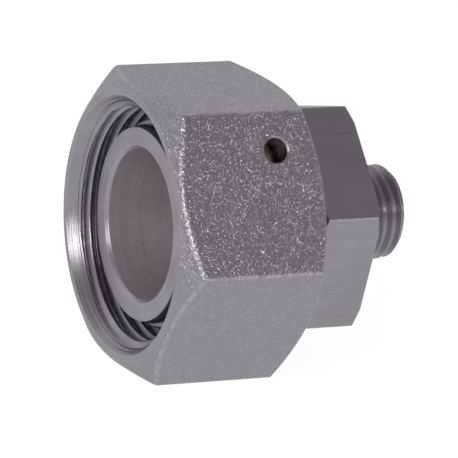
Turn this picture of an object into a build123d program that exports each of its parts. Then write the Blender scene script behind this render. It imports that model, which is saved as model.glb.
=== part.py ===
from build123d import *
import os
from math import asin, cos, degrees, radians, sin, sqrt, tan

# A hydraulic reducing adapter: a 24 degree sealing cone with a captive union nut, and a small threaded stub.
# It lies on one flat of the nut. X runs along the passage, the nut's mouth faces -X and the stub +X.
# The origin is the centre of the cone's front face. All sizes are in millimetres.

# Metric threads. Depths and the flats on the crests are shares of the pitch
inner_thread_depth = 0.5413
inner_crest_flat = 0.25
outer_thread_depth = 0.6134
outer_crest_flat = 0.125
flank_angle = 30.0
thread_overcut = 0.05

# Union nut, with its internal thread
nut_thread_diameter = 36.0
nut_thread_pitch = 2.0
nut_thread_start = 0.82
nut_wall = 2.5
nut_length = 23.1
nut_corner_round = 0.4
nut_face_inset = 0.75
nut_chamfer_angle = 30.0
mouth_margin = 0.5
mouth_depth = 1.5
lead_in_depth = 0.75
relief_length = 1.2
relief_depth = 0.15
edge_break = 0.2

# Place of the nut on the body
face_setback = 2.8
neck_to_thread = 0.2
running_clearance = 0.08
hex_gap = 0.5

# Sealing cone and its groove
cone_half_angle = 12.0
mating_wall_room = 1.77
land_step = 1.1
land_length = 3.9
groove_depth = 1.55
groove_lip = 0.5
cone_wall = 1.5
bore_chamfer = 0.45
seal_thickness = 1.9
seal_side_clearance = 0.03
seal_seat_clearance = 0.01

# Retaining wire, its groove, its hook and the hole that it is fed through
wire_diameter = 3.0
wire_clearance = 0.1
wire_to_rear = 7.1
groove_web = 1.2
hook_inside_radius = 0.5
hook_straight = 1.0
hook_hole_clearance = 0.4
wire_hole_clearance = 0.3
wire_hole_rim = 0.25
wire_hole_rim_angle = 90.0
wire_hole_offset = 6.25
wire_hole_angle = 60.0
hook_angle = 105.0
tail_gap_angle = 9.0

# Passage through the body
inlet_depth = 17.0
drill_point_angle = 118.0

# Hexagon on the body, narrower than the nut's and turned about X from it
hex_flats_step = 9.0
hex_length = 9.4
hex_corner_round = 0.2
hex_chamfer_cut = 1.25
hex_chamfer_angle = 30.0
hex_turn = -17.8

# Threaded stub for the small tube
tube_diameter = 8.0
tube_wall = 1.0
tube_clearance = 0.05
tube_stop_depth = 7.0
stub_cone_step = 1.0
stub_wall = 2.0
stub_length = 10.3
stub_chamfer = 0.9
stub_thread_pitch = 1.5
stub_thread_start = 2.375

# Distance to a hexagon's corner, in half-widths across its flats
corner_reach = 2 / sqrt(3)

# Radii that follow
nut_thread_radius = nut_thread_diameter / 2
thread_minor_radius = nut_thread_radius - inner_thread_depth * nut_thread_pitch
nut_half_flats = nut_thread_radius + nut_wall
nut_corner_radius = corner_reach * nut_half_flats
nut_face_radius = nut_half_flats - nut_face_inset
mouth_radius = nut_thread_radius + mouth_margin
lead_in_radius = thread_minor_radius + lead_in_depth
relief_radius = nut_thread_radius + relief_depth
neck_radius = thread_minor_radius - neck_to_thread
nut_bore_radius = neck_radius + running_clearance
land_radius = thread_minor_radius - mating_wall_room
cone_face_radius = land_radius - land_step
groove_floor_radius = cone_face_radius - groove_depth
inlet_radius = groove_floor_radius - cone_wall
cone_slope = tan(radians(cone_half_angle))
wire_radius = wire_diameter / 2
wire_groove_radius = wire_radius + wire_clearance
wire_ring_radius = neck_radius + running_clearance / 2
hex_half_flats = nut_half_flats - hex_flats_step / 2
hex_corner_radius = corner_reach * hex_half_flats
socket_radius = tube_diameter / 2 + tube_clearance
passage_radius = tube_diameter / 2 - tube_wall
stub_mouth_radius = tube_diameter / 2 + stub_cone_step
stub_radius = stub_mouth_radius + stub_wall
stub_root_radius = stub_radius - outer_thread_depth * stub_thread_pitch

# Places along X that follow
nut_mouth_x = -face_setback
nut_rear_x = nut_mouth_x + nut_length
recess_x = nut_mouth_x + mouth_depth
wire_x = nut_rear_x - wire_to_rear
relief_end_x = wire_x - wire_groove_radius - groove_web
seal_groove_width = seal_thickness + 2 * seal_side_clearance
land_x = groove_lip + seal_groove_width
land_end_x = land_x + land_length
land_end_radius = land_radius + land_length * cone_slope
neck_x = land_end_x + neck_radius - land_end_radius
hex_front_x = nut_rear_x + hex_gap
hex_rear_x = hex_front_x + hex_length
stub_end_x = hex_rear_x + stub_length
drill_tip_x = inlet_depth + (inlet_radius - passage_radius) / tan(radians(drill_point_angle / 2))
tube_stop_x = stub_end_x - tube_stop_depth
stub_cone_length = (stub_mouth_radius - socket_radius) / cone_slope


def chamfer_envelope(front_x, rear_x, face_radius, corner_radius, angle):
    """Outline, from the axis outwards, of the turned chamfers at both ends of a hexagon."""
    setback = (corner_radius - face_radius) * tan(radians(angle))
    return [
        (front_x, 0),
        (front_x, face_radius),
        (front_x + setback, corner_radius),
        (rear_x - setback, corner_radius),
        (rear_x, face_radius),
        (rear_x, 0),
    ]


def thread_groove(start_x, end_x, pitch, crest_radius, root_radius, crest_flat):
    """Cutter of a right-handed thread. Its V begins on the +Z side and stands a little past the crests."""
    outwards = 1 if root_radius > crest_radius else -1
    overcut = thread_overcut * pitch
    flank_slope = tan(radians(flank_angle))
    crest_half_width = (1 - crest_flat) * pitch / 2
    mouth_half_width = crest_half_width + overcut * flank_slope
    root_half_width = crest_half_width - abs(root_radius - crest_radius) * flank_slope
    mouth_radius = crest_radius - outwards * overcut
    with BuildPart() as groove:
        with BuildLine():
            coil = Helix(pitch, end_x - start_x, crest_radius, center=(start_x, 0, 0), direction=(1, 0, 0))
        with BuildSketch(Plane.XZ):
            with BuildLine():
                Polyline(
                    (start_x - mouth_half_width, mouth_radius),
                    (start_x - root_half_width, root_radius),
                    (start_x + root_half_width, root_radius),
                    (start_x + mouth_half_width, mouth_radius),
                    close=True,
                )
            make_face()
        sweep(path=coil, is_frenet=True)
    return groove.part


os.makedirs("parts", exist_ok=True)

# Union nut
nut_outline = chamfer_envelope(nut_mouth_x, nut_rear_x, nut_face_radius, nut_corner_radius, nut_chamfer_angle)
nut_hollow = [
    (nut_mouth_x, 0),
    (nut_mouth_x, mouth_radius + edge_break),
    (nut_mouth_x + edge_break, mouth_radius),
    (recess_x, mouth_radius),
    (recess_x, lead_in_radius),
    (recess_x + lead_in_depth, thread_minor_radius),
    (relief_end_x - relief_length - relief_radius + thread_minor_radius, thread_minor_radius),
    (relief_end_x - relief_length, relief_radius),
    (relief_end_x, relief_radius),
    (relief_end_x, nut_bore_radius),
    (nut_rear_x - edge_break, nut_bore_radius),
    (nut_rear_x, nut_bore_radius + edge_break),
    (nut_rear_x, 0),
]
# The flat that faces up and towards -Y carries the hole for the wire
hole_flat_y = -nut_half_flats * sin(radians(wire_hole_angle))
hole_flat_z = nut_half_flats * cos(radians(wire_hole_angle))
hole_flat = Plane(origin=(wire_x, hole_flat_y, hole_flat_z), x_dir=(1, 0, 0), z_dir=(0, hole_flat_y, hole_flat_z))
wire_hole_radius = wire_radius + wire_hole_clearance
nut_thread_groove = thread_groove(
    nut_mouth_x + nut_thread_start,
    relief_end_x - nut_thread_pitch / 2,
    nut_thread_pitch,
    thread_minor_radius,
    nut_thread_radius,
    inner_crest_flat,
)

with BuildPart() as swivel_nut:
    with BuildSketch(Plane.YZ.offset(nut_mouth_x)):
        RegularPolygon(nut_half_flats, 6, major_radius=False)
    extrude(amount=nut_length)
    fillet(swivel_nut.edges().filter_by(Axis.X), nut_corner_round)
    with BuildSketch(Plane.XY):
        with BuildLine():
            Polyline(nut_outline, close=True)
        make_face()
    revolve(axis=Axis.X, mode=Mode.INTERSECT)
    with BuildSketch(Plane.YZ.offset(nut_mouth_x)):
        Circle(thread_minor_radius)
    extrude(amount=nut_length, mode=Mode.SUBTRACT)
    add(nut_thread_groove, mode=Mode.SUBTRACT)
    with BuildSketch(Plane.XY):
        with BuildLine():
            Polyline(nut_hollow, close=True)
        make_face()
    revolve(axis=Axis.X, mode=Mode.SUBTRACT)
    with BuildSketch(Plane.XY):
        with Locations((wire_x, wire_ring_radius)):
            Circle(wire_groove_radius)
    revolve(axis=Axis.X, mode=Mode.SUBTRACT)
    with Locations(hole_flat):
        with Locations((0, wire_hole_offset)):
            CounterSinkHole(
                wire_hole_radius, wire_hole_radius + wire_hole_rim, nut_half_flats, wire_hole_rim_angle
            )
swivel_nut.part.label = "swivel_nut"
export_step(swivel_nut.part, "parts/swivel_nut.step")

# Body: cone, neck, hexagon and stub in one piece
turned_outline = [
    (0, 0),
    (0, cone_face_radius),
    (groove_lip, cone_face_radius + groove_lip * cone_slope),
    (groove_lip, groove_floor_radius),
    (land_x, groove_floor_radius),
    (land_x, land_radius - edge_break),
    (land_x + edge_break, land_radius + edge_break * cone_slope),
    (land_end_x, land_end_radius),
    (neck_x, neck_radius),
    (hex_front_x, neck_radius),
    (hex_front_x, 0),
]
passage_outline = [
    (0, 0),
    (0, inlet_radius + bore_chamfer),
    (bore_chamfer, inlet_radius),
    (inlet_depth, inlet_radius),
    (drill_tip_x, passage_radius),
    (tube_stop_x, passage_radius),
    (tube_stop_x, socket_radius),
    (stub_end_x - stub_cone_length, socket_radius),
    (stub_end_x, stub_mouth_radius),
    (stub_end_x, 0),
]
hex_outline = chamfer_envelope(
    hex_front_x, hex_rear_x, hex_corner_radius - hex_chamfer_cut, hex_corner_radius, hex_chamfer_angle
)
hook_bend_radius = wire_radius + hook_inside_radius
hook_reach = hook_bend_radius + hook_straight
hook_hole_radius = wire_radius + hook_hole_clearance
hook_hole_depth = hook_reach + hook_hole_clearance
hook_direction = Vector(0, cos(radians(hook_angle)), sin(radians(hook_angle)))
hook_plane = Plane(origin=Vector(wire_x, 0, 0) + hook_direction * wire_ring_radius, z_dir=hook_direction)
stub_thread_groove = thread_groove(
    hex_rear_x + stub_thread_start,
    stub_end_x + stub_thread_pitch,
    stub_thread_pitch,
    stub_radius,
    stub_root_radius,
    outer_crest_flat,
)

# The stub is threaded as a longer rod, and its chamfered end is cut afterwards
rod_end_x = stub_end_x + 3 * stub_thread_pitch
rod_waste = [
    (stub_end_x, 0),
    (stub_end_x, stub_radius - stub_chamfer),
    (stub_end_x - 2 * stub_chamfer, stub_radius + stub_chamfer),
    (rod_end_x + stub_chamfer, stub_radius + stub_chamfer),
    (rod_end_x + stub_chamfer, 0),
]

with BuildPart() as threaded_stub:
    with BuildSketch(Plane.YZ.offset(hex_front_x)):
        Circle(stub_radius)
    extrude(amount=rod_end_x - hex_front_x)
    add(stub_thread_groove, mode=Mode.SUBTRACT)
    with BuildSketch(Plane.XY):
        with BuildLine():
            Polyline(rod_waste, close=True)
        make_face()
    revolve(axis=Axis.X, mode=Mode.SUBTRACT)

with BuildPart() as adapter_body:
    with BuildSketch(Plane.YZ.offset(hex_front_x)):
        RegularPolygon(hex_half_flats, 6, major_radius=False, rotation=hex_turn)
    extrude(amount=hex_length)
    fillet(adapter_body.edges().filter_by(Axis.X), hex_corner_round)
    with BuildSketch(Plane.XY):
        with BuildLine():
            Polyline(hex_outline, close=True)
        make_face()
    revolve(axis=Axis.X, mode=Mode.INTERSECT)
    with BuildSketch(Plane.XY):
        with BuildLine():
            Polyline(turned_outline, close=True)
        make_face()
    revolve(axis=Axis.X)
    add(threaded_stub.part)
    with BuildSketch(Plane.XY):
        with BuildLine():
            Polyline(passage_outline, close=True)
        make_face()
    revolve(axis=Axis.X, mode=Mode.SUBTRACT)
    with BuildSketch(Plane.XY):
        with Locations((wire_x, wire_ring_radius)):
            Circle(wire_groove_radius)
    revolve(axis=Axis.X, mode=Mode.SUBTRACT)
    with BuildSketch(hook_plane):
        Circle(hook_hole_radius)
    extrude(amount=-hook_hole_depth, mode=Mode.SUBTRACT)
adapter_body.part.label = "adapter_body"
export_step(adapter_body.part, "parts/adapter_body.step")

# Retaining wire: an open ring whose end bends inwards into the neck
hook_bend_angle = degrees(asin(hook_bend_radius / (wire_ring_radius - hook_bend_radius)))
tail_angle = hook_angle + tail_gap_angle
ring_sweep = 360 - tail_gap_angle - hook_bend_angle

with BuildPart() as retaining_wire:
    with BuildLine(Plane.YZ.offset(wire_x)) as wire_path:
        ring = CenterArc((0, 0), wire_ring_radius, tail_angle, ring_sweep)
        bend = JernArc(ring @ 1, ring % 1, hook_bend_radius, 90 + hook_bend_angle)
        Line(bend @ 1, (bend @ 1) + (bend % 1) * hook_straight)
    with BuildSketch(Plane(origin=wire_path.line @ 0, z_dir=wire_path.line % 0)):
        Circle(wire_radius)
    sweep(path=wire_path.line)
retaining_wire.part.label = "retaining_wire"
export_step(retaining_wire.part, "parts/retaining_wire.step")

# Rubber ring in the cone's groove
seal_radius = seal_thickness / 2
seal_x = groove_lip + seal_groove_width / 2
seal_ring_radius = groove_floor_radius + seal_seat_clearance + seal_radius

with BuildPart() as cone_o_ring:
    with BuildSketch(Plane.XY):
        with Locations((seal_x, seal_ring_radius)):
            Circle(seal_radius)
    revolve(axis=Axis.X)
cone_o_ring.part.label = "cone_o_ring"
export_step(cone_o_ring.part, "parts/cone_o_ring.step")
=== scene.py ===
import math

import bmesh
import bpy
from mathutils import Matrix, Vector


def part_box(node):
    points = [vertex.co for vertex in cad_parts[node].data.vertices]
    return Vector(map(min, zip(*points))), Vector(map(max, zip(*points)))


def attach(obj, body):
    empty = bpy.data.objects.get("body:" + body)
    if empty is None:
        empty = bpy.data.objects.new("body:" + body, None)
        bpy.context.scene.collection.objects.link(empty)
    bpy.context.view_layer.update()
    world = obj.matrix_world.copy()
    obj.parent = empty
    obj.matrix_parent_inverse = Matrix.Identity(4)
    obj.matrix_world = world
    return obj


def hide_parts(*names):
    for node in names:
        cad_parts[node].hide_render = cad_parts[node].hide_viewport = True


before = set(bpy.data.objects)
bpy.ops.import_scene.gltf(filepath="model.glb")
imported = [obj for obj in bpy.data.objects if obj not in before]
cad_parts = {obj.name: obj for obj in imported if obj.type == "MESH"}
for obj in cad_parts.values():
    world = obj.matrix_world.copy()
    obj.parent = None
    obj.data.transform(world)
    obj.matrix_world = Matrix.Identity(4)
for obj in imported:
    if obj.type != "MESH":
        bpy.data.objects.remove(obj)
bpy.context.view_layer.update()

# A hydraulic reducing adapter. A union nut with an internal thread turns on a body that has a sealing cone
# at one end, a hexagon behind the nut and a threaded stub at the other end. X is the axis of the passage,
# the nut's mouth faces -X and Z is up. All lengths are in metres.

MM = 0.001
nut_low, nut_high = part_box("swivel_nut")
body_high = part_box("adapter_body")[1]
wire_low, wire_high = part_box("retaining_wire")

# Union nut
nut_mouth_x = nut_low.x
nut_rear_x = nut_high.x
nut_half_flats = nut_high.z
nut_corner_round = 0.75 * MM
nut_corner_turn = 0.0
nut_face_radius = 19.75 * MM
nut_face_round = 0.2 * MM
nut_edge_round = 1.1 * MM
rear_edge_round = 0.35 * MM
hexagon_chamfer = math.radians(30)
mouth_radius = 18.8 * MM
mouth_bottom_radius = 17.8 * MM
mouth_depth = 1.5 * MM
mouth_line = 0.1 * MM
edge_break = 0.2 * MM
small_round = 0.08 * MM

# Thread inside the nut, and the relief behind it. Half widths are parts of a pitch
nut_pitch = 2.0 * MM
nut_crest_radius = 16.9174 * MM
nut_root_radius = 18.0 * MM
lead_in_depth = 0.75 * MM
relief_radius = 18.15 * MM
relief_start_x = 9.2 * MM
relief_end_x = 10.4 * MM
nut_crest_place = 0.52 * MM
nut_crest_half_width = 0.125
nut_root_half_width = 0.0625
nut_run_out = 0.001 * MM

# Wire, its groove, the hole that it is fed through and the hole for its hook
wire_x = (wire_low.x + wire_high.x) / 2
wire_radius = (wire_high.x - wire_low.x) / 2
wire_ring_radius = wire_high.z - wire_radius
wire_groove_radius = wire_radius + 0.1 * MM
wire_hole_radius = wire_radius + 0.3 * MM
wire_hole_rim = 0.25 * MM
wire_hole_lead = 0.5 * MM
wire_hole_depth = nut_half_flats - nut_crest_radius + 1.5 * MM
wire_hole_side_step = 6.25 * MM
wire_hole_flat_turn = math.radians(150)
hook_turn = math.radians(105)
hook_hole_radius = wire_radius + 0.4 * MM
hook_hole_depth = 3.4 * MM

# Body
neck_radius = nut_crest_radius - 0.2 * MM
nut_bore_radius = neck_radius + 0.08 * MM
cone_face_radius = 14.0474 * MM
cone_slope = math.tan(math.radians(12))
groove_lip = 0.5 * MM
groove_floor_radius = 12.4974 * MM
land_x = 2.46 * MM
land_radius = 15.1474 * MM
land_end_x = 6.36 * MM
land_end_radius = land_radius + (land_end_x - land_x) * cone_slope
neck_x = land_end_x + neck_radius - land_end_radius
inlet_radius = 10.9974 * MM
inlet_chamfer = 0.45 * MM
inlet_depth = 17.0 * MM
passage_radius = 3.0 * MM
drill_tip_x = inlet_depth + (inlet_radius - passage_radius) / math.tan(math.radians(59))
hex_front_x = nut_rear_x + 0.5 * MM
hex_rear_x = hex_front_x + 9.4 * MM
hex_half_flats = 16.0 * MM
hex_corner_turn = math.radians(42.2)
hex_corner_round = 0.2 * MM
hex_face_radius = 17.225 * MM
hex_face_rim = 0.3 * MM

# Threaded stub
stub_end_x = body_high.x
stub_pitch = 1.5 * MM
stub_crest_radius = 7.0 * MM
stub_root_radius = 6.08 * MM
stub_end_radius = 6.1 * MM
stub_run_out = 1.6 * MM
stub_crest_place = hex_rear_x + 2.75 * MM
stub_crest_half_width = 0.0625
stub_root_half_width = 0.125
socket_radius = 4.05 * MM
tube_stop_x = stub_end_x - 7.0 * MM
stub_mouth_radius = 5.0 * MM
stub_cone_length = (stub_mouth_radius - socket_radius) / cone_slope

# Steps and joints of the meshes
arc_steps = 4
corner_steps = 5
flat_steps = 30
groove_steps = 14
nut_thread_columns = 220
stub_thread_columns = 128
thread_steps = 24
thread_softness = 0.16
weld_distance = 0.002 * MM
joint_step = 0.1 * MM
guard_step = 0.06 * MM
guard_share = 0.3
tangent_share = 0.42
hole_steps = 64
sharp_angle = math.radians(38)

# Camera: where it looks from, as found from the edges in the photograph
picture_side = 458
camera_azimuth = math.radians(-28.231)
camera_elevation = math.radians(18.636)
camera_roll = math.radians(6.527)
camera_distance = 642.59 * MM
focal_pixels = 4398.49
aim_point = Vector((17.2 * MM, 0, 0))
aim_pixel = (244.392, 218.502)
sensor_width = 36.0


def softened(corners):
    """A profile of (x, radius, rounding, finish) corners as (x, radius, edge mask, finish) points, with arcs
    at the corners. The edge mask is 1 at an arc's middle and 0 beside it, and lightens the metal there as
    rubbed zinc and as a painted highlight. Finish is that of the stretch after a point."""
    first, last = corners[0], corners[-1]
    points = [(first[0], first[1], 0.0, first[3])]
    for before, here, after in zip(corners, corners[1:], corners[2:]):
        corner = Vector(here[:2])
        back = Vector(before[:2]) - corner
        ahead = Vector(after[:2]) - corner
        if here[2] == 0:
            points.append((here[0], here[1], 0.0, here[3]))
            continue
        half_angle = back.angle(ahead) / 2
        shorter = min(tangent_share * back.length, tangent_share * ahead.length)
        tangent = min(here[2] / math.tan(half_angle), shorter)
        rounding = tangent * math.tan(half_angle)
        inwards = (back.normalized() + ahead.normalized()).normalized()
        middle = corner + inwards * rounding / math.sin(half_angle)
        start = corner + back.normalized() * tangent - middle
        end = corner + ahead.normalized() * tangent - middle
        sweep = start.angle(end)
        guard = min(guard_step, guard_share * tangent)
        early = corner + back.normalized() * (tangent + guard)
        late = corner + ahead.normalized() * (tangent + guard)
        points.append((early.x, early.y, 0.0, before[3]))
        for i in range(arc_steps + 1):
            share = i / arc_steps
            offset = start * math.sin((1 - share) * sweep) + end * math.sin(share * sweep)
            offset = offset / math.sin(sweep)
            points.append((middle.x + offset.x, middle.y + offset.y, math.sin(math.pi * share), here[3]))
        points.append((late.x, late.y, 0.0, here[3]))
    points.append((last[0], last[1], 0.0, last[3]))
    return points


def from_corner(turn, corner_turn):
    """Angle from the nearest corner of a hexagon."""
    sixth = math.radians(60)
    return (turn - corner_turn + sixth / 2) % sixth - sixth / 2


def rounding_turn(half_flats, rounding):
    """Angle from a corner's middle to where its rounding meets the flat."""
    centre = (half_flats - rounding) / math.cos(math.radians(30))
    return math.atan2(rounding / 2, centre + rounding * math.cos(math.radians(30)))


def hexagon_reach(turn, corner_turn, half_flats, rounding):
    """Distance from the axis to the side of a hexagon with rounded corners, and the corner's edge mask there,
    which lightens the metal as rubbed zinc and as a painted highlight.
    """
    aside = from_corner(turn, corner_turn)
    limit = rounding_turn(half_flats, rounding)
    if abs(aside) >= limit:
        return half_flats / math.cos(math.radians(30) - abs(aside)), 0.0
    centre = (half_flats - rounding) / math.cos(math.radians(30))
    reach = centre * math.cos(aside) + math.sqrt(rounding ** 2 - (centre * math.sin(aside)) ** 2)
    return reach, math.cos(math.pi / 2 * aside / limit)


def hexagon_turns(corner_turn, half_flats, rounding):
    """Angles round a hexagon, close together over each rounded corner and even between the corners."""
    limit = rounding_turn(half_flats, rounding)
    guard = limit + guard_step / half_flats
    sixth = math.radians(60)
    turns = []
    for corner in range(6):
        base = corner_turn + corner * sixth
        turns += [base + limit * (2 * i / corner_steps - 1) for i in range(corner_steps + 1)]
        turns += [base + guard + (sixth - 2 * guard) * i / flat_steps for i in range(flat_steps + 1)]
    return turns


def swept_skin(outline, turns):
    """Skin of profiles round the axis, open between the last point and the first, with the edge mask for
    rubbed zinc and painted highlight, and finishes.
    """
    skin = bmesh.new()
    # Edge mask: rubbed metal and a painted highlight, strongest in the middle of rounded edges
    wear_and_highlight = skin.verts.layers.float.new("wear_and_highlight")
    columns = []
    for turn in turns:
        column = []
        for x, radius, edge, finish in outline(turn):
            vertex = skin.verts.new((x, radius * math.cos(turn), radius * math.sin(turn)))
            vertex[wear_and_highlight] = edge
            column.append(vertex)
        columns.append(column)
    finishes = [point[3] for point in outline(turns[0])]
    for left, right in zip(columns, columns[1:] + columns[:1]):
        for row in range(len(left) - 1):
            face = skin.faces.new((left[row], left[row + 1], right[row + 1], right[row]))
            face.material_index = finishes[row]
            face.smooth = True
    return skin


def feed(tree, socket, value):
    """Links a socket to another node's output, or gives it a plain value."""
    if isinstance(value, bpy.types.NodeSocket):
        tree.links.new(value, socket)
    else:
        socket.default_value = value


def calc(tree, operation, *values):
    """Output of a new Math node, fed by outputs or numbers."""
    node = tree.nodes.new("ShaderNodeMath")
    node.operation = operation
    for socket, value in zip(node.inputs, values):
        feed(tree, socket, value)
    return node.outputs[0]


def thread_surface_tree():
    """A screw thread as an open tube round X: a sheet bent into a helix and clipped at both ends."""
    tree = bpy.data.node_groups.new("thread_surface", "GeometryNodeTree")
    sizes = ["Start", "End", "Crest Radius", "Root Radius", "Pitch", "Crest Place", "Crest Half Width"]
    sizes += ["Root Half Width", "Start Radius", "End Radius", "Run Out"]
    tree.interface.new_socket("Geometry", in_out="INPUT", socket_type="NodeSocketGeometry")
    for name in sizes:
        tree.interface.new_socket(name, in_out="INPUT", socket_type="NodeSocketFloat")
    for name in ("Columns", "Steps"):
        tree.interface.new_socket(name, in_out="INPUT", socket_type="NodeSocketInt")
    tree.interface.new_socket("Material", in_out="INPUT", socket_type="NodeSocketMaterial")
    tree.interface.new_socket("Geometry", in_out="OUTPUT", socket_type="NodeSocketGeometry")
    given = tree.nodes.new("NodeGroupInput").outputs
    start, end, pitch = given["Start"], given["End"], given["Pitch"]

    # The sheet has one column for each step round and one row for each step along
    turns_long = calc(tree, "CEIL", calc(tree, "DIVIDE", calc(tree, "SUBTRACT", end, start), pitch))
    rows = calc(tree, "MULTIPLY", calc(tree, "ADD", turns_long, 3), given["Steps"])
    sheet = tree.nodes.new("GeometryNodeMeshGrid")
    sheet.inputs["Size X"].default_value = 1
    sheet.inputs["Size Y"].default_value = 1
    tree.links.new(calc(tree, "ADD", given["Columns"], 1), sheet.inputs["Vertices X"])
    tree.links.new(calc(tree, "ADD", rows, 1), sheet.inputs["Vertices Y"])
    place = tree.nodes.new("ShaderNodeSeparateXYZ")
    tree.links.new(tree.nodes.new("GeometryNodeInputPosition").outputs[0], place.inputs[0])
    turn = calc(tree, "ADD", place.outputs["X"], 0.5)
    row = calc(tree, "MULTIPLY", calc(tree, "ADD", place.outputs["Y"], 0.5), rows)

    # Each row climbs one pitch for each turn, and is held between the two ends
    from_crest = calc(tree, "DIVIDE", calc(tree, "SUBTRACT", start, given["Crest Place"]), pitch)
    first_crest = calc(tree, "SUBTRACT", calc(tree, "FLOOR", from_crest), 1)
    sheet_turns = calc(tree, "DIVIDE", row, given["Steps"])
    climbed = calc(tree, "ADD", calc(tree, "ADD", first_crest, sheet_turns), turn)
    free_x = calc(tree, "MULTIPLY_ADD", climbed, pitch, given["Crest Place"])
    along = calc(tree, "MINIMUM", calc(tree, "MAXIMUM", free_x, start), end)

    # Flank height from 0 at a crest to 1 at a root, with softened corners
    crests_away = calc(tree, "DIVIDE", calc(tree, "SUBTRACT", along, given["Crest Place"]), pitch)
    phase = calc(tree, "SUBTRACT", crests_away, turn)
    within = calc(tree, "FRACT", calc(tree, "ADD", phase, 100.5))
    folded = calc(tree, "ABSOLUTE", calc(tree, "SUBTRACT", within, 0.5))
    beside_crest = calc(tree, "SUBTRACT", 0.5, given["Crest Half Width"])
    flank = calc(tree, "SUBTRACT", beside_crest, given["Root Half Width"])
    climb = calc(tree, "DIVIDE", calc(tree, "SUBTRACT", folded, given["Crest Half Width"]), flank)
    past_crest = calc(tree, "SMOOTH_MAX", climb, 0, thread_softness)
    depth = calc(tree, "SMOOTH_MIN", past_crest, 1, thread_softness)
    from_start = calc(tree, "SUBTRACT", along, start)
    cut_in = calc(tree, "MINIMUM", calc(tree, "DIVIDE", from_start, given["Run Out"]), 1)
    cut = calc(tree, "MULTIPLY", depth, cut_in)
    full_depth = calc(tree, "SUBTRACT", given["Root Radius"], given["Crest Radius"])
    radius = calc(tree, "MULTIPLY_ADD", cut, full_depth, given["Crest Radius"])

    # Turned cones at 45 degrees take the crests away at the ends: outwards in a nut, inwards on a stub
    side = calc(tree, "SIGN", full_depth)
    lead_in = calc(tree, "SUBTRACT", calc(tree, "MULTIPLY", side, given["Start Radius"]), from_start)
    to_end = calc(tree, "SUBTRACT", end, along)
    lead_out = calc(tree, "SUBTRACT", calc(tree, "MULTIPLY", side, given["End Radius"]), to_end)
    ends = calc(tree, "MAXIMUM", lead_in, lead_out)
    clipped = calc(tree, "MAXIMUM", calc(tree, "MULTIPLY", side, radius), ends)
    final_radius = calc(tree, "MULTIPLY", side, clipped)

    angle = calc(tree, "MULTIPLY", turn, 2 * math.pi)
    point = tree.nodes.new("ShaderNodeCombineXYZ")
    tree.links.new(along, point.inputs["X"])
    tree.links.new(calc(tree, "MULTIPLY", final_radius, calc(tree, "COSINE", angle)), point.inputs["Y"])
    tree.links.new(calc(tree, "MULTIPLY", final_radius, calc(tree, "SINE", angle)), point.inputs["Z"])
    bend = tree.nodes.new("GeometryNodeSetPosition")
    tree.links.new(sheet.outputs["Mesh"], bend.inputs["Geometry"])
    tree.links.new(point.outputs[0], bend.inputs["Position"])
    weld = tree.nodes.new("GeometryNodeMergeByDistance")
    weld.inputs["Distance"].default_value = weld_distance
    tree.links.new(bend.outputs[0], weld.inputs["Geometry"])
    real = tree.nodes.new("GeometryNodeRealizeInstances")
    tree.links.new(weld.outputs[0], real.inputs[0])
    coat = tree.nodes.new("GeometryNodeSetMaterial")
    tree.links.new(real.outputs[0], coat.inputs["Geometry"])
    tree.links.new(given["Material"], coat.inputs["Material"])
    tree.links.new(coat.outputs[0], tree.nodes.new("NodeGroupOutput").inputs[0])
    return tree


def thread_mesh(name, tree, material, sizes):
    """Plain mesh of the thread tree with these sizes."""
    holder = bpy.data.objects.new(name, bpy.data.meshes.new(name))
    bpy.context.scene.collection.objects.link(holder)
    modifier = holder.modifiers.new(name, "NODES")
    modifier.node_group = tree
    for item in tree.interface.items_tree:
        if item.in_out == "INPUT" and item.name in sizes:
            modifier[item.identifier] = sizes[item.name]
        if item.in_out == "INPUT" and item.name == "Material":
            modifier[item.identifier] = material
    evaluated = holder.evaluated_get(bpy.context.evaluated_depsgraph_get())
    mesh = bpy.data.meshes.new_from_object(evaluated)
    bpy.data.objects.remove(holder)
    return mesh


def rim_loops(skin):
    """The open edges of a skin, as (place along X, edges) of each closed loop."""
    left = {edge for edge in skin.edges if edge.is_boundary}
    loops = []
    while left:
        waiting = [left.pop()]
        loop = []
        while waiting:
            edge = waiting.pop()
            loop.append(edge)
            touching = {e for vertex in edge.verts for e in vertex.link_edges if e in left}
            left -= touching
            waiting += touching
        ends = [vertex.co.x for edge in loop for vertex in edge.verts]
        loops.append((sum(ends) / len(ends), loop))
    return sorted(loops, key=lambda item: item[0])


def weld_thread(skin, thread, finish):
    """Joins an open thread tube to the two open rims of a skin, and turns all faces outwards."""
    first_new = len(skin.faces)
    skin.from_mesh(thread)
    skin.faces.ensure_lookup_table()
    for face in skin.faces[first_new:]:
        face.material_index = finish
        face.smooth = True
    low_a, low_b, high_a, high_b = [loop for _, loop in rim_loops(skin)]
    for pair in (low_a + low_b, high_a + high_b):
        bridge = bmesh.ops.bridge_loops(skin, edges=pair)
        for face in bridge["faces"]:
            face.material_index = finish
            face.smooth = True
    bmesh.ops.recalc_face_normals(skin, faces=skin.faces)


def new_piece(name, skin, materials):
    """Object made from a skin, at the origin."""
    mesh = bpy.data.meshes.new(name)
    skin.to_mesh(mesh)
    skin.free()
    for material in materials:
        mesh.materials.append(material)
    piece = bpy.data.objects.new(name, mesh)
    bpy.context.scene.collection.objects.link(piece)
    return piece


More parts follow.
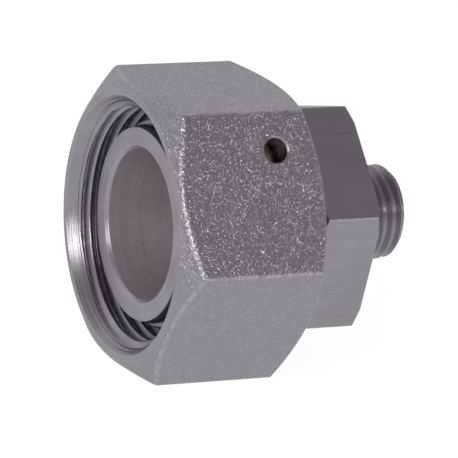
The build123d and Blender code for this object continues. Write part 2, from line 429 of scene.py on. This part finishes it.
def drill(piece, profile, origin, direction):
    """Cuts a round hole with this (depth, radius) profile into a piece. Depth runs along the direction."""
    aim = direction.to_track_quat("Z", "Y")
    cutter = bmesh.new()
    rings = []
    for depth, radius in profile:
        ring = []
        for i in range(hole_steps):
            turn = 2 * math.pi * i / hole_steps
            spot = Vector((radius * math.cos(turn), radius * math.sin(turn), depth))
            ring.append(cutter.verts.new(origin + aim @ spot))
        rings.append(ring)
    for low, high in zip(rings, rings[1:]):
        for i in range(hole_steps):
            after = (i + 1) % hole_steps
            cutter.faces.new((low[i], low[after], high[after], high[i]))
    cutter.faces.new(rings[0])
    cutter.faces.new(rings[-1])
    bmesh.ops.recalc_face_normals(cutter, faces=cutter.faces)
    for face in cutter.faces:
        face.smooth = True
    tool = new_piece("cutter", cutter, [])
    tool.data.materials.append(piece.data.materials[0])
    modifier = piece.modifiers.new("hole", "BOOLEAN")
    modifier.operation = "DIFFERENCE"
    modifier.solver = "EXACT"
    modifier.object = tool
    evaluated = piece.evaluated_get(bpy.context.evaluated_depsgraph_get())
    piece.data = bpy.data.meshes.new_from_object(evaluated)
    piece.data.name = piece.name
    piece.modifiers.clear()
    bpy.data.objects.remove(tool)


def finish_piece(piece, body, slot, *nodes):
    """Smooth shading up to sharp corners, and the piece's place in the frame."""
    piece.data.set_sharp_from_angle(angle=sharp_angle)
    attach(piece, body)
    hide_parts(*nodes)


def wire_groove_points(from_bore, finish):
    """Arc of the round groove for the wire, seen from the bore outwards or from the neck inwards."""
    edge_radius = nut_bore_radius if from_bore else neck_radius
    away = 1 if from_bore else -1
    first = math.asin(away * (edge_radius - wire_ring_radius) / wire_groove_radius)
    points = []
    for i in range(groove_steps + 1):
        angle = first + (math.pi - 2 * first) * i / groove_steps
        x = wire_x + wire_groove_radius * math.cos(angle)
        points.append((x, wire_ring_radius + away * wire_groove_radius * math.sin(angle), 0, finish))
    return points


# Places of the finishes in a piece's list: the nut has turned and blasted, the body turned, drawn and bored
TURNED = 0
BLASTED = 1
DRAWN = 1
BORED = 2


def nut_outline(turn):
    """Profile of the nut at one angle, from its mouth's bottom round the outside to the thread's relief."""
    reach, at_corner = hexagon_reach(turn, nut_corner_turn, nut_half_flats, nut_corner_round)
    set_back = (reach - nut_face_radius) * math.tan(hexagon_chamfer)
    step_x = nut_mouth_x + mouth_depth
    front_edge_x = nut_mouth_x + set_back
    rear_edge_x = nut_rear_x - set_back
    corners = [
        (step_x, mouth_bottom_radius, 0, TURNED),
        (step_x - mouth_line, mouth_bottom_radius, small_round, TURNED),
        (nut_mouth_x, mouth_radius, small_round, TURNED),
        (nut_mouth_x, nut_face_radius, nut_face_round, BLASTED),
        (front_edge_x, reach, nut_edge_round, BLASTED),
        (rear_edge_x, reach, rear_edge_round, BLASTED),
        (nut_rear_x, nut_face_radius, nut_face_round, TURNED),
        (nut_rear_x, nut_bore_radius + edge_break, small_round, TURNED),
        (nut_rear_x - edge_break, nut_bore_radius, small_round, TURNED),
        *wire_groove_points(True, TURNED),
        (relief_end_x, nut_bore_radius, small_round, TURNED),
        (relief_end_x, relief_radius, small_round, TURNED),
        (relief_start_x + joint_step, relief_radius, 0, TURNED),
    ]
    points = []
    for x, radius, wear_and_highlight, finish in softened(corners):
        on_flats = front_edge_x <= x <= rear_edge_x and radius > nut_face_radius
        points.append((x, radius, max(wear_and_highlight, at_corner) if on_flats else wear_and_highlight, finish))
    return points


def body_outline(turn):
    """Profile of the body at one angle, from the root of the stub round the outside to the stub's end."""
    reach, at_corner = hexagon_reach(turn, hex_corner_turn, hex_half_flats, hex_corner_round)
    set_back = max(reach - hex_face_radius, 0) * math.tan(hexagon_chamfer)
    face_reach = min(reach, hex_face_radius)
    corners = [
        (hex_rear_x, stub_crest_radius + joint_step, 0, TURNED),
        (hex_rear_x, face_reach - hex_face_rim, 0, TURNED),
        (hex_rear_x, face_reach, 0, TURNED),
        (hex_rear_x - set_back, reach, 0, DRAWN),
        (hex_front_x + set_back, reach, 0, TURNED),
        (hex_front_x, face_reach, 0, TURNED),
        (hex_front_x, neck_radius, small_round, TURNED),
        *wire_groove_points(False, TURNED),
        (neck_x, neck_radius, small_round, TURNED),
        (land_end_x, land_end_radius, small_round, TURNED),
        (land_x + edge_break, land_radius + edge_break * cone_slope, small_round, TURNED),
        (land_x, land_radius - edge_break, small_round, TURNED),
        (land_x, groove_floor_radius, small_round, TURNED),
        (groove_lip, groove_floor_radius, small_round, TURNED),
        (groove_lip, cone_face_radius + groove_lip * cone_slope, small_round, TURNED),
        (0, cone_face_radius, small_round, TURNED),
        (0, inlet_radius + inlet_chamfer, small_round, TURNED),
        (inlet_chamfer, inlet_radius, small_round, BORED),
        (inlet_depth, inlet_radius, small_round, BORED),
        (drill_tip_x, passage_radius, small_round, BORED),
        (tube_stop_x, passage_radius, small_round, TURNED),
        (tube_stop_x, socket_radius, small_round, TURNED),
        (stub_end_x - stub_cone_length, socket_radius, small_round, TURNED),
        (stub_end_x, stub_mouth_radius, small_round, TURNED),
        (stub_end_x, stub_root_radius - joint_step, 0, TURNED),
    ]
    return [
        (x, radius, max(wear_and_highlight, at_corner) if radius > hex_face_radius else wear_and_highlight, finish)
        for x, radius, wear_and_highlight, finish in softened(corners)
    ]


def new_group(name, inputs, outputs):
    """Empty shader node group with these named sockets, its input sockets and its output node."""
    group = bpy.data.node_groups.new(name, "ShaderNodeTree")
    for label, kind in inputs:
        group.interface.new_socket(label, in_out="INPUT", socket_type="NodeSocket" + kind)
    for label, kind in outputs:
        group.interface.new_socket(label, in_out="OUTPUT", socket_type="NodeSocket" + kind)
    return group, group.nodes.new("NodeGroupInput").outputs, group.nodes.new("NodeGroupOutput").inputs


def put(tree, kind, settings=None, **inputs):
    """New node in a tree. An input is a number, a colour or a node's output, and _ stands for a space."""
    node = tree.nodes.new(kind)
    for name, value in (settings or {}).items():
        setattr(node, name, value)
    for name, value in inputs.items():
        feed(tree, node.inputs[name.replace("_", " ")], value)
    return node


def blend_colour(tree, share, low, high):
    """Colour between two colours, by a share from 0 to 1."""
    node = tree.nodes.new("ShaderNodeMix")
    node.data_type = "RGBA"
    for identifier, value in (("Factor_Float", share), ("A_Color", low), ("B_Color", high)):
        feed(tree, next(s for s in node.inputs if s.identifier == identifier), value)
    return next(s for s in node.outputs if s.identifier == "Result_Color")


def blend_value(tree, share, low, high):
    """Number between two numbers, by a share from 0 to 1."""
    return put(tree, "ShaderNodeMapRange", None, Value=share, To_Min=low, To_Max=high).outputs[0]


# Colour of zinc rubbed bright, which along rounded edges also stands for a painted highlight, and the depth
# of the lines that a tool leaves
worn_and_highlight_zinc = (0.74, 0.73, 0.75, 1)
line_depth = 0.004 * MM

# Sockets that several shader groups share
LOOK_INPUTS = [
    ("Place", "Vector"), ("Grain", "Float"),
    ("Low Colour", "Color"), ("High Colour", "Color"),
    ("Low Roughness", "Float"), ("High Roughness", "Float"),
]
LOOK_OUTPUTS = [("Colour", "Color"), ("Roughness", "Float"), ("Height", "Float")]
TILT_INPUTS = [("Place", "Vector"), ("Normal", "Vector"), ("Grain", "Float"), ("Tilt", "Float")]


def vector_sum(tree, operation, *values):
    """Output of a new Vector Math node."""
    node = tree.nodes.new("ShaderNodeVectorMath")
    node.operation = operation
    sockets = [node.inputs[0], node.inputs["Scale"]] if operation == "SCALE" else node.inputs
    for socket, value in zip(sockets, values):
        feed(tree, socket, value)
    return node.outputs["Value" if operation in ("LENGTH", "DOT_PRODUCT") else "Vector"]


def put_noise(tree, place, scale, detail, roughness=0.5):
    """Output of a new noise, from 0 to 1."""
    sizes = {"Vector": place, "Scale": scale, "Detail": detail, "Roughness": roughness}
    return put(tree, "ShaderNodeTexNoise", None, **sizes).outputs[0]


def give_look(group, given, result, share, height):
    """Puts out a group's colour and roughness, by a share from low to high, and its height."""
    roughness = blend_value(group, share, given["High Roughness"], given["Low Roughness"])
    group.links.new(blend_colour(group, share, given["Low Colour"], given["High Colour"]), result["Colour"])
    group.links.new(roughness, result["Roughness"])
    group.links.new(height, result["Height"])


def shot_blast_group():
    """Colour and relief of a shot-blasted forging under a thin plating. Grain is the width of a dent."""
    group, given, result = new_group("shot_blast", LOOK_INPUTS, LOOK_OUTPUTS)
    scale = calc(group, "DIVIDE", 1, given["Grain"])
    soft = {"feature": "SMOOTH_F1"}
    dents = put(group, "ShaderNodeTexVoronoi", soft, Vector=given["Place"], Scale=scale, Smoothness=0.35)
    fine_scale = calc(group, "MULTIPLY", scale, 1.9)
    ridges = put_noise(group, given["Place"], fine_scale, 2, 0.6)
    cloud_scale = calc(group, "MULTIPLY", scale, 0.11)
    clouds = put_noise(group, given["Place"], cloud_scale, 3)
    height = calc(group, "ADD", dents.outputs["Distance"], calc(group, "MULTIPLY", ridges, 0.8))
    crest = put(group, "ShaderNodeMapRange", None, Value=height, From_Min=0.55, From_Max=1.15)
    crest_part = calc(group, "MULTIPLY", crest.outputs[0], 0.6)
    share = calc(group, "ADD", crest_part, calc(group, "MULTIPLY", clouds, 0.4))
    give_look(group, given, result, share, height)
    return group


def dent_tilt_group():
    """Leans the surface a random way in each small dent, so that single dents flash under a lamp."""
    group, given, result = new_group("dent_tilt", TILT_INPUTS, [("Normal", "Vector")])
    scale = calc(group, "DIVIDE", 1, given["Grain"])
    wide = put(group, "ShaderNodeTexVoronoi", None, Vector=given["Place"], Scale=scale)
    fine_scale = calc(group, "MULTIPLY", scale, 1.7)
    fine = put(group, "ShaderNodeTexVoronoi", None, Vector=given["Place"], Scale=fine_scale)
    both = vector_sum(group, "ADD", wide.outputs["Color"], fine.outputs["Color"])
    lean = vector_sum(group, "SCALE", vector_sum(group, "SUBTRACT", both, (1, 1, 1)), given["Tilt"])
    leaned = vector_sum(group, "ADD", given["Normal"], lean)
    group.links.new(vector_sum(group, "NORMALIZE", leaned), result["Normal"])
    return group


def tool_marks_group():
    """Colour and relief of fine lines left by a cutting tool or a drawing die, with soft stains. Grain is the
    width of a line, and Place is already stretched along the lines."""
    group, given, result = new_group("tool_marks", LOOK_INPUTS + [("Stain Place", "Vector")], LOOK_OUTPUTS)
    scale = calc(group, "DIVIDE", 1, given["Grain"])
    lines = put_noise(group, given["Place"], scale, 3, 0.65)
    wide_scale = calc(group, "MULTIPLY", scale, 0.13)
    bands = put_noise(group, given["Place"], wide_scale, 2)
    stain_scale = calc(group, "MULTIPLY", scale, 0.022)
    stains = put_noise(group, given["Stain Place"], stain_scale, 4, 0.6)
    height = calc(group, "ADD", lines, bands)
    line_part = calc(group, "MULTIPLY", height, 0.25)
    mixed = calc(group, "ADD", line_part, calc(group, "MULTIPLY", stains, 0.5))
    share = put(group, "ShaderNodeMapRange", None, Value=mixed, From_Min=0.35, From_Max=0.65).outputs[0]
    give_look(group, given, result, share, height)
    return group


def line_tilt_group():
    """Leans the surface across the lines of a cut or drawn finish, each line by its own amount. Along is the
    way that the lines run, and Grain is the width of a line."""
    inputs = TILT_INPUTS + [("Along", "Vector")]
    group, given, result = new_group("line_tilt", inputs, [("Normal", "Vector")])
    across_lines = vector_sum(group, "DOT_PRODUCT", given["Place"], (1.0, 1.618, 0.74))
    count = calc(group, "FLOOR", calc(group, "DIVIDE", across_lines, given["Grain"]))
    chance = put(group, "ShaderNodeTexWhiteNoise", {"noise_dimensions": "1D"}, W=count).outputs["Value"]
    amount = calc(group, "MULTIPLY", calc(group, "MULTIPLY_ADD", chance, 2, -1), given["Tilt"])
    across = vector_sum(group, "CROSS_PRODUCT", given["Along"], given["Normal"])
    across = vector_sum(group, "NORMALIZE", across)
    lean = vector_sum(group, "SCALE", across, amount)
    leaned = vector_sum(group, "ADD", given["Normal"], lean)
    group.links.new(vector_sum(group, "NORMALIZE", leaned), result["Normal"])
    return group


def worn_and_highlight_edge_group():
    """Brighter, smoother metal along rounded corners, partly rubbed bright where they have been knocked and
    partly a painted highlight, broken up by noise.
    """
    inputs = [
        ("Place", "Vector"), ("Wear", "Float"), ("Colour", "Color"), ("Roughness", "Float"),
        ("Worn Colour", "Color"), ("Worn Roughness", "Float"),
    ]
    group, given, result = new_group("worn_and_highlight_edge", inputs, LOOK_OUTPUTS[:2])
    breaks = put_noise(group, given["Place"], 0.9 / MM, 3)
    gap = put(group, "ShaderNodeMapRange", None, Value=breaks, From_Min=0.3, From_Max=0.6)
    share = calc(group, "MULTIPLY", given["Wear"], gap.outputs[0])
    roughness = blend_value(group, share, given["Roughness"], given["Worn Roughness"])
    group.links.new(blend_colour(group, share, given["Colour"], given["Worn Colour"]), result["Colour"])
    group.links.new(roughness, result["Roughness"])
    return group


def round_place_group():
    """Place along the axis and distance from it, and the way round it, for marks that run round the axis."""
    outputs = [("Round Place", "Vector"), ("Way Round", "Vector")]
    group, given, result = new_group("round_place", [("Place", "Vector")], outputs)
    across = vector_sum(group, "MULTIPLY", given["Place"], (0, 1, 1))
    along = put(group, "ShaderNodeSeparateXYZ", None, Vector=given["Place"]).outputs["X"]
    place = put(group, "ShaderNodeCombineXYZ", None, X=along, Y=vector_sum(group, "LENGTH", across), Z=0.0)
    group.links.new(place.outputs[0], result["Round Place"])
    group.links.new(vector_sum(group, "CROSS_PRODUCT", (1, 0, 0), across), result["Way Round"])
    return group


def new_metal(name, metallic=1.0):
    """New material with its node tree, its shader and the place of a point on the piece."""
    material = bpy.data.materials.new(name)
    material.use_nodes = True
    tree = material.node_tree
    shader = tree.nodes["Principled BSDF"]
    shader.inputs["Metallic"].default_value = metallic
    place = tree.nodes.new("ShaderNodeTexCoord").outputs["Object"]
    return material, tree, shader, place


def put_group(tree, group, **inputs):
    """A node group placed in a material, with its own values."""
    return put(tree, "ShaderNodeGroup", {"node_tree": group}, **inputs)


def use_look(tree, shader, look):
    """Feeds a shader with a look's colour and roughness."""
    tree.links.new(look.outputs["Colour"], shader.inputs["Base Color"])
    tree.links.new(look.outputs["Roughness"], shader.inputs["Roughness"])


def wear_and_highlight_edges(tree, shader, group, place, look, worn_colour, worn_roughness):
    """Feeds a shader with a look's colour and roughness, made lighter and smoother where the piece's edge
    mask attribute says: rubbed metal and a painted highlight on the rounded edges.
    """
    # Edge mask read back: 1 in the middle of rounded edges, for rubbed metal and a painted highlight
    wear_and_highlight = put(tree, "ShaderNodeAttribute", {"attribute_name": "wear_and_highlight"})
    edged = put_group(
        tree, group, Place=place, Wear=wear_and_highlight.outputs["Fac"], Colour=look.outputs["Colour"],
        Roughness=look.outputs["Roughness"], Worn_Colour=worn_colour, Worn_Roughness=worn_roughness,
    )
    use_look(tree, shader, edged)


def relief(tree, height, depth):
    """Normal of the surface with a relief of this depth, in the piece's own space."""
    bump = put(tree, "ShaderNodeBump", None, Distance=depth, Height=height)
    turn = {"vector_type": "NORMAL", "convert_from": "WORLD", "convert_to": "OBJECT"}
    return put(tree, "ShaderNodeVectorTransform", turn, Vector=bump.outputs[0]).outputs[0]


def use_normal(tree, shader, normal):
    """Feeds a shader with a normal in the piece's own space."""
    turn = {"vector_type": "NORMAL", "convert_from": "OBJECT", "convert_to": "WORLD"}
    turned = put(tree, "ShaderNodeVectorTransform", turn, Vector=normal)
    tree.links.new(turned.outputs[0], shader.inputs["Normal"])


def blasted_zinc_material(groups):
    """Plated zinc over the shot-blasted outside of the nut."""
    material, tree, shader, place = new_metal("blasted_zinc")
    look = put_group(
        tree, groups["blast"], Place=place, Grain=0.22 * MM,
        Low_Colour=(0.47, 0.445, 0.47, 1), High_Colour=(0.62, 0.605, 0.635, 1),
        Low_Roughness=0.18, High_Roughness=0.21,
    )
    # Lighter edge colour: rubbed zinc and a painted highlight on the nut's rounded edges
    wear_and_highlight_edges(tree, shader, groups["edge"], place, look, worn_and_highlight_zinc, 0.22)
    normal = relief(tree, look.outputs["Height"], 0.002 * MM)
    dented = put_group(tree, groups["dent"], Place=place, Normal=normal, Grain=0.17 * MM, Tilt=0.5)
    use_normal(tree, shader, dented.outputs[0])
    return material


def turned_zinc_material(groups):
    """Plated zinc on what was turned: the mouth, both threads, the cone and the faces."""
    material, tree, shader, place = new_metal("turned_zinc")
    around = put_group(tree, groups["round"], Place=place)
    look = put_group(
        tree, groups["marks"], Place=around.outputs["Round Place"], Stain_Place=place, Grain=0.16 * MM,
        Low_Colour=(0.47, 0.44, 0.46, 1), High_Colour=(0.6, 0.585, 0.615, 1),
        Low_Roughness=0.2, High_Roughness=0.34,
    )
    # Lighter edge colour: rubbed zinc and a painted highlight on the turned edges
    wear_and_highlight_edges(tree, shader, groups["edge"], place, look, worn_and_highlight_zinc, 0.22)
    lined = put_group(
        tree, groups["line"], Place=around.outputs["Round Place"], Along=around.outputs["Way Round"],
        Normal=relief(tree, look.outputs["Height"], line_depth), Grain=0.008 * MM, Tilt=0.2,
    )
    use_normal(tree, shader, lined.outputs[0])
    return material


def bored_zinc_material(groups):
    """Dull brownish plating inside the passage, where the bath reaches it less well. Its base colours,
    lighter than the outside zinc, are painted light that brightens the deep bore.
    """
    material, tree, shader, place = new_metal("bored_zinc")
    around = put_group(tree, groups["round"], Place=place)
    # Base colours lighter than the outside zinc: painted light inside the deep bore, over a dull brownish
    # plating
    look = put_group(
        tree, groups["marks"], Place=place, Stain_Place=place, Grain=0.6 * MM,
        Low_Colour=(0.62, 0.57, 0.58, 1), High_Colour=(0.84, 0.81, 0.83, 1),
        Low_Roughness=0.42, High_Roughness=0.55,
    )
    # Lighter edge colour: rubbed plating and a painted highlight on the passage's edges
    wear_and_highlight_edges(tree, shader, groups["edge"], place, look, (0.8, 0.79, 0.8, 1), 0.3)
    lined = put_group(
        tree, groups["line"], Place=around.outputs["Round Place"], Along=around.outputs["Way Round"],
        Normal=relief(tree, look.outputs["Height"], line_depth), Grain=0.004 * MM, Tilt=0.42,
    )
    use_normal(tree, shader, lined.outputs[0])
    return material


def drawn_zinc_material(groups):
    """Plated zinc on the hexagon's flats, which keep the long fine lines of the drawn bar."""
    material, tree, shader, place = new_metal("drawn_zinc")
    stretch = put(tree, "ShaderNodeMapping", None, Vector=place, Scale=(0.03, 1, 1)).outputs[0]
    look = put_group(
        tree, groups["marks"], Place=stretch, Stain_Place=place, Grain=0.2 * MM,
        Low_Colour=(0.49, 0.46, 0.485, 1), High_Colour=(0.58, 0.565, 0.595, 1),
        Low_Roughness=0.24, High_Roughness=0.36,
    )
    # Lighter edge colour: rubbed zinc and a painted highlight on the hexagon's corners
    wear_and_highlight_edges(tree, shader, groups["edge"], place, look, (0.7, 0.69, 0.71, 1), 0.25)
    across = vector_sum(tree, "MULTIPLY", place, (0, 1, 1))
    lined = put_group(
        tree, groups["line"], Place=across, Along=(1, 0, 0),
        Normal=relief(tree, look.outputs["Height"], line_depth), Grain=0.09 * MM, Tilt=0.1,
    )
    use_normal(tree, shader, lined.outputs[0])
    return material


def wire_material(groups):
    """Brown drawn wire, dull from heat."""
    material, tree, shader, place = new_metal("brown_wire")
    look = put_group(
        tree, groups["marks"], Place=place, Stain_Place=place, Grain=0.3 * MM,
        Low_Colour=(0.4, 0.31, 0.25, 1), High_Colour=(0.6, 0.52, 0.45, 1),
        Low_Roughness=0.35, High_Roughness=0.5,
    )
    use_look(tree, shader, look)
    return material


def rubber_material(groups):
    """Matt black rubber of the seal, with a faint mould texture."""
    material, tree, shader, place = new_metal("black_rubber", 0.0)
    look = put_group(
        tree, groups["blast"], Place=place, Grain=0.25 * MM,
        Low_Colour=(0.012, 0.011, 0.011, 1), High_Colour=(0.03, 0.028, 0.028, 1),
        Low_Roughness=0.45, High_Roughness=0.6,
    )
    use_look(tree, shader, look)
    bump = put(tree, "ShaderNodeBump", None, Distance=0.01 * MM, Height=look.outputs["Height"])
    tree.links.new(bump.outputs[0], shader.inputs["Normal"])
    return material


def make_nut(tree, turned, blasted):
    """Union nut with its thread, the wire's groove and the hole that the wire is fed through."""
    turns = hexagon_turns(nut_corner_turn, nut_half_flats, nut_corner_round)
    skin = swept_skin(nut_outline, turns)
    thread = thread_mesh("nut_thread", tree, turned, {
        "Start": nut_mouth_x + mouth_depth,
        "End": relief_start_x,
        "Crest Radius": nut_crest_radius,
        "Root Radius": nut_root_radius,
        "Pitch": nut_pitch,
        "Crest Place": nut_crest_place,
        "Crest Half Width": nut_crest_half_width,
        "Root Half Width": nut_root_half_width,
        "Start Radius": nut_crest_radius + lead_in_depth,
        "End Radius": relief_radius,
        "Run Out": nut_run_out,
        "Columns": nut_thread_columns,
        "Steps": thread_steps,
    })
    weld_thread(skin, thread, TURNED)
    nut = new_piece("union_nut", skin, [turned, blasted])
    outward = Vector((0, math.cos(wire_hole_flat_turn), math.sin(wire_hole_flat_turn)))
    upward = Vector((0, -outward.z, outward.y)) * -1
    rim = Vector((wire_x, 0, 0)) + outward * nut_half_flats + upward * wire_hole_side_step
    profile = [
        (-wire_hole_lead, wire_hole_radius + wire_hole_rim + wire_hole_lead),
        (wire_hole_rim, wire_hole_radius),
        (wire_hole_depth, wire_hole_radius),
    ]
    drill(nut, profile, rim, -outward)
    finish_piece(nut, "nut", "blasted_steel", "swivel_nut")
    return nut


def make_body(tree, turned, drawn, bored):
    """Body in one piece, from the sealing cone to the threaded stub."""
    turns = hexagon_turns(hex_corner_turn, hex_half_flats, hex_corner_round)
    skin = swept_skin(body_outline, turns)
    thread = thread_mesh("stub_thread", tree, turned, {
        "Start": hex_rear_x,
        "End": stub_end_x,
        "Crest Radius": stub_crest_radius,
        "Root Radius": stub_root_radius,
        "Pitch": stub_pitch,
        "Crest Place": stub_crest_place,
        "Crest Half Width": stub_crest_half_width,
        "Root Half Width": stub_root_half_width,
        "Start Radius": stub_crest_radius,
        "End Radius": stub_end_radius,
        "Run Out": stub_run_out,
        "Columns": stub_thread_columns,
        "Steps": thread_steps,
    })
    weld_thread(skin, thread, TURNED)
    body = new_piece("adapter", skin, [turned, drawn, bored])
    outward = Vector((0, math.cos(hook_turn), math.sin(hook_turn)))
    mouth = Vector((wire_x, 0, 0)) + outward * (wire_ring_radius + wire_radius)
    depth = wire_radius + hook_hole_depth
    drill(body, [(0, hook_hole_radius), (depth, hook_hole_radius)], mouth, -outward)
    finish_piece(body, "adapter", "turned_steel", "adapter_body")
    return body


def make_camera():
    """Camera at the photograph's place. The aim point lands on its own pixel, beside the picture's middle."""
    right = Vector((math.cos(camera_azimuth), math.sin(camera_azimuth), 0))
    back = Vector((
        math.sin(camera_azimuth) * math.cos(camera_elevation),
        -math.cos(camera_azimuth) * math.cos(camera_elevation),
        math.sin(camera_elevation),
    ))
    up = back.cross(right)
    turned_right = right * math.cos(camera_roll) + up * math.sin(camera_roll)
    turned_up = up * math.cos(camera_roll) - right * math.sin(camera_roll)
    aside = (aim_pixel[0] - picture_side / 2) / focal_pixels
    above = (picture_side / 2 - aim_pixel[1]) / focal_pixels
    data = bpy.data.cameras.new("camera")
    data.sensor_width = sensor_width
    data.lens = focal_pixels * sensor_width / picture_side
    data.clip_start = 0.01
    data.clip_end = 20
    camera = bpy.data.objects.new("camera", data)
    bpy.context.scene.collection.objects.link(camera)
    place = aim_point + (back - turned_right * aside - turned_up * above) * camera_distance
    matrix = camera.matrix_world.copy()
    for i in range(3):
        matrix[i][0] = turned_right[i]
        matrix[i][1] = turned_up[i]
        matrix[i][2] = back[i]
        matrix[i][3] = place[i]
    camera.matrix_world = matrix
    bpy.context.scene.camera = camera


def make_softbox(name, azimuth, elevation, size, power):
    """Soft light that faces the adapter from this direction, in degrees."""
    turn, lift = math.radians(azimuth), math.radians(elevation)
    back = Vector((math.sin(turn) * math.cos(lift), -math.cos(turn) * math.cos(lift), math.sin(lift)))
    data = bpy.data.lights.new(name, "AREA")
    data.shape = "RECTANGLE"
    data.size, data.size_y = size
    data.energy = power
    light = bpy.data.objects.new(name, data)
    bpy.context.scene.collection.objects.link(light)
    light.location = aim_point + back * light_distance
    light.rotation_mode = "QUATERNION"
    light.rotation_quaternion = back.to_track_quat("Z", "Y")


def make_floor():
    """Plain white table that the nut's lower flat lies on. The metal sees it greyer than the camera does,
    because the photograph's paper is burnt out to white."""
    bpy.ops.mesh.primitive_plane_add(size=floor_side, location=(0, 0, nut_low.z))
    floor = bpy.context.object
    floor.name = "floor"
    material = bpy.data.materials.new("white_table")
    material.use_nodes = True
    tree = material.node_tree
    tree.nodes.clear()
    seen = put(tree, "ShaderNodeAddShader")
    paint = put(tree, "ShaderNodeBsdfDiffuse", None, Color=(floor_paint, floor_paint, floor_paint, 1))
    tree.links.new(paint.outputs[0], seen.inputs[0])
    glow = put(tree, "ShaderNodeEmission", None, Color=(1, 1, 1, 1), Strength=floor_glow)
    tree.links.new(glow.outputs[0], seen.inputs[1])
    mirrored = put(tree, "ShaderNodeEmission", None, Color=(*floor_mirrored, 1), Strength=1)
    choice = put(tree, "ShaderNodeMixShader")
    tree.links.new(tree.nodes.new("ShaderNodeLightPath").outputs["Is Camera Ray"], choice.inputs[0])
    tree.links.new(mirrored.outputs[0], choice.inputs[1])
    tree.links.new(seen.outputs[0], choice.inputs[2])
    out = tree.nodes.new("ShaderNodeOutputMaterial")
    tree.links.new(choice.outputs[0], out.inputs[0])
    floor.data.materials.append(material)


def make_room():
    """Light of the studio: dark in front and overhead, pale paper behind the adapter, white to the camera."""
    world = bpy.data.worlds.new("studio")
    bpy.context.scene.world = world
    world.use_nodes = True
    tree = world.node_tree
    view = tree.nodes.new("ShaderNodeTexCoord").outputs["Generated"]
    way = put(tree, "ShaderNodeSeparateXYZ", None, Vector=view)
    smooth = {"interpolation_type": "SMOOTHSTEP"}
    behind = put(tree, "ShaderNodeMapRange", smooth, Value=way.outputs["Y"], From_Min=-0.15, From_Max=0.6)
    low = put(tree, "ShaderNodeMapRange", smooth, Value=way.outputs["Z"], From_Min=0.95, From_Max=0.55)
    pale = calc(tree, "MULTIPLY", behind.outputs[0], low.outputs[0])
    colour = blend_colour(tree, pale, (*room_dark, 1), (*room_pale, 1))
    to_camera = tree.nodes.new("ShaderNodeLightPath").outputs["Is Camera Ray"]
    seen = blend_colour(tree, to_camera, colour, (1, 1, 1, 1))
    tree.links.new(seen, tree.nodes["Background"].inputs["Color"])


# Studio
light_distance = 1.5
floor_side = 8
floor_paint = 0.35
floor_glow = 0.9
floor_mirrored = (0.5, 0.495, 0.52)
room_dark = (0.222, 0.196, 0.218)
room_pale = (0.5, 0.495, 0.52)

bpy.context.scene.view_settings.view_transform = "Standard"
make_camera()
make_floor()
make_room()
make_softbox("right_light", azimuth=31, elevation=21, size=(0.26, 0.1), power=0.8)
make_softbox("left_light", azimuth=-72, elevation=18, size=(0.3, 0.3), power=1.2)
make_softbox("front_light", azimuth=-48, elevation=24, size=(0.7, 0.8), power=3.8)

groups = {
    "blast": shot_blast_group(),
    "dent": dent_tilt_group(),
    "marks": tool_marks_group(),
    "line": line_tilt_group(),
    "edge": worn_and_highlight_edge_group(),
    "round": round_place_group(),
}
turned_zinc = turned_zinc_material(groups)
blasted_zinc = blasted_zinc_material(groups)
drawn_zinc = drawn_zinc_material(groups)
bored_zinc = bored_zinc_material(groups)

thread_tree = thread_surface_tree()
union_nut = make_nut(thread_tree, turned_zinc, blasted_zinc)
adapter = make_body(thread_tree, turned_zinc, drawn_zinc, bored_zinc)
brown_wire = wire_material(groups)
black_rubber = rubber_material(groups)
for node_name, material, slot in (
    ("retaining_wire", brown_wire, "wire_steel"),
    ("cone_o_ring", black_rubber, "seal_rubber"),
):
    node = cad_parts[node_name]
    node.data.materials.clear()
    node.data.materials.append(material)
